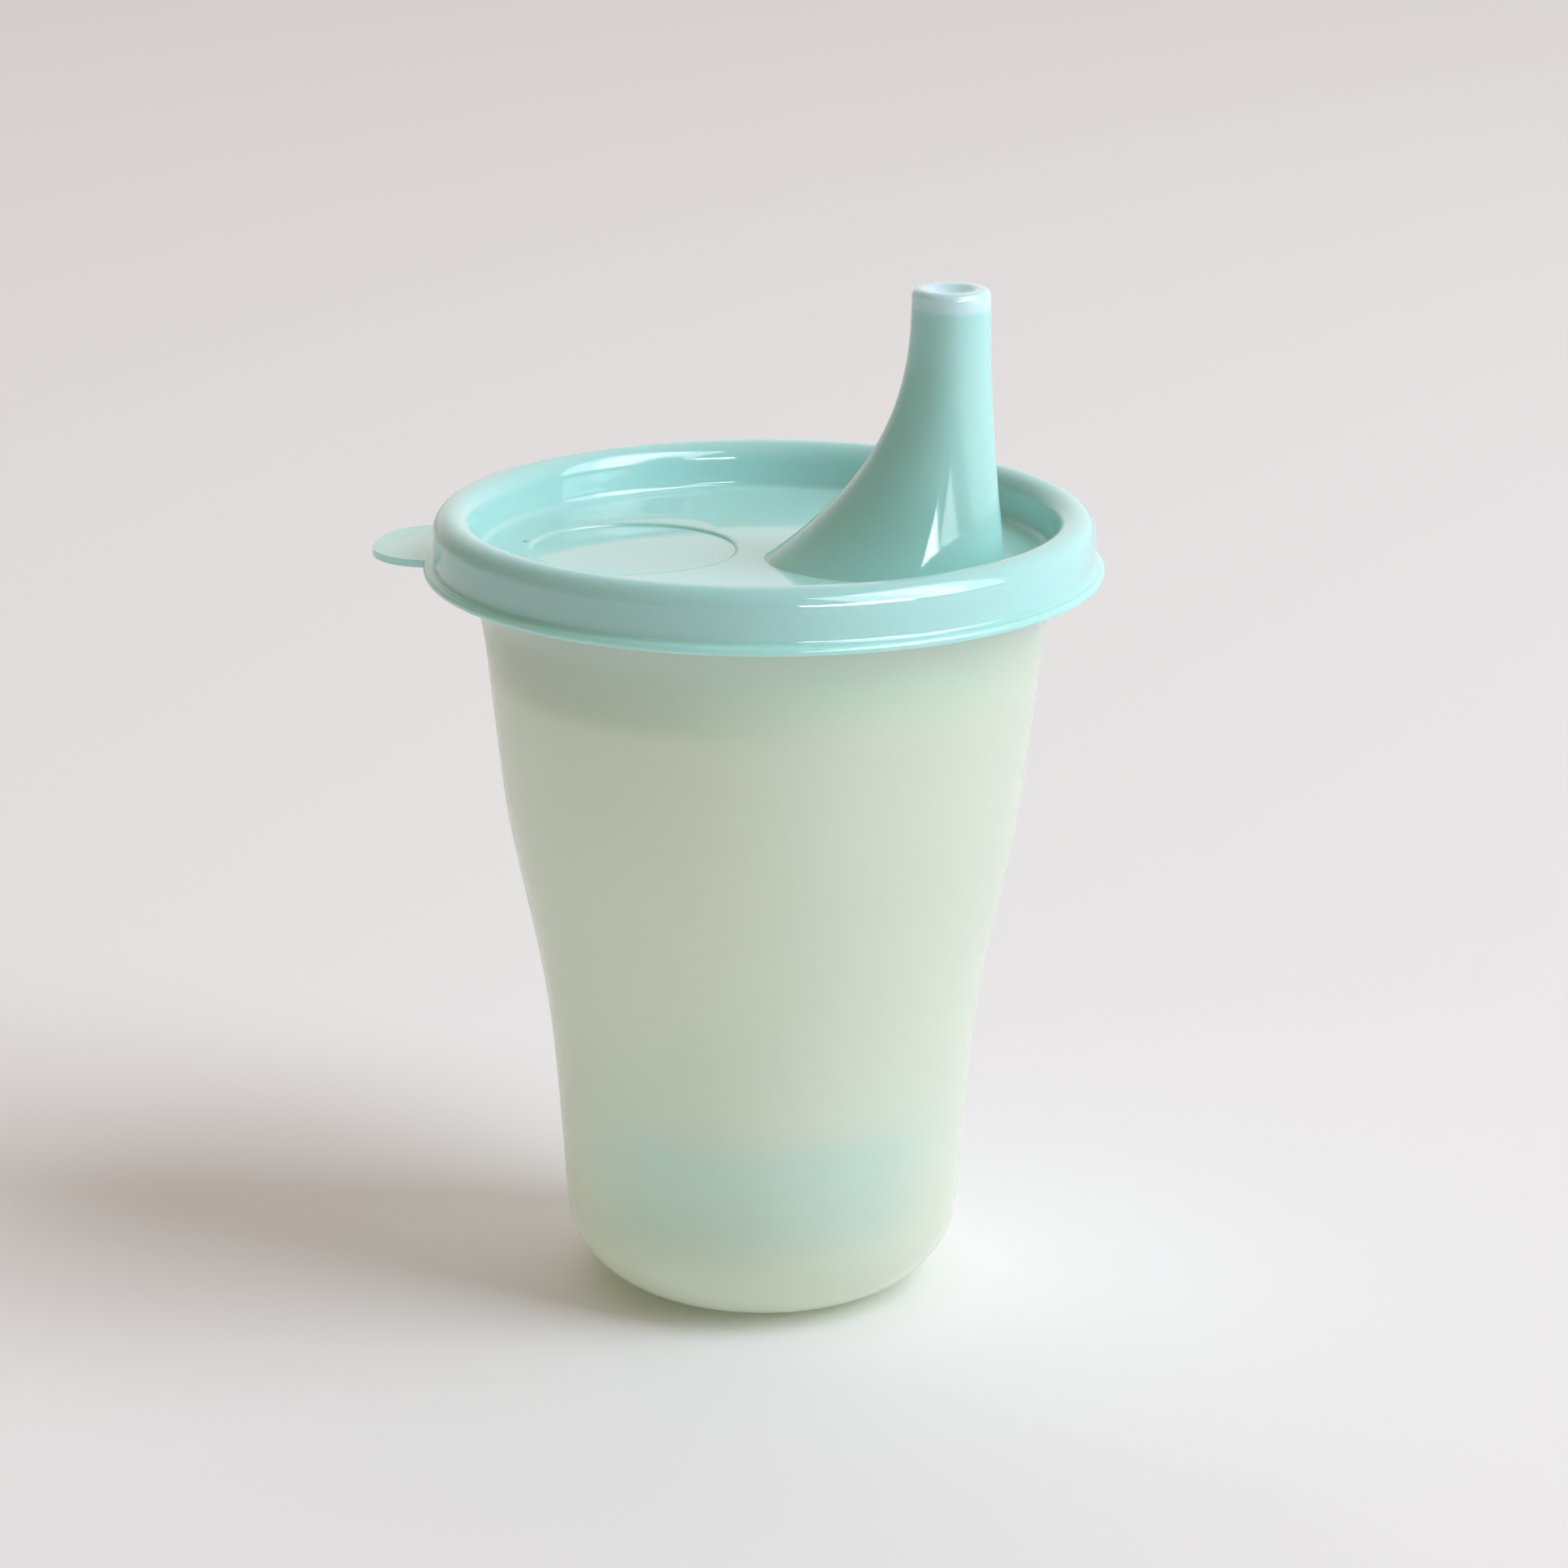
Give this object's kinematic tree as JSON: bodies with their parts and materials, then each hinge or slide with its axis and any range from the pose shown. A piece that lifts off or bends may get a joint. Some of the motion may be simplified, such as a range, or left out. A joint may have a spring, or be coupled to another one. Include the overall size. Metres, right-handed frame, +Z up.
{
  "type": "sippy cup",
  "caption": "Bell-shaped child's tumbler with a push-on lid that has a sunken floor, a tapering drinking spout and a pull tab.",
  "frame": {"origin": "centre of the tumbler's flat foot, on the surface it stands on", "axes": "+Z up along the cup's axis, +X from the axis towards the spout, the pull tab along -X, +Y across"},
  "size_m": [0.0958, 0.088, 0.1348],
  "materials": {
    "tumbler_plastic": "satin, milky translucent pale green",
    "lid_plastic": "glossy, slightly translucent mint"
  },
  "bodies": {
    "tumbler": {"tumbler": "tumbler_plastic"},
    "lid": {"lid": "lid_plastic"}
  },
  "joints": [
    {"name": "lid_lift", "type": "slide", "parent": "tumbler", "child": "lid", "axis": [0, 0, 1], "range_m": [0, 0.04]}
  ]
}
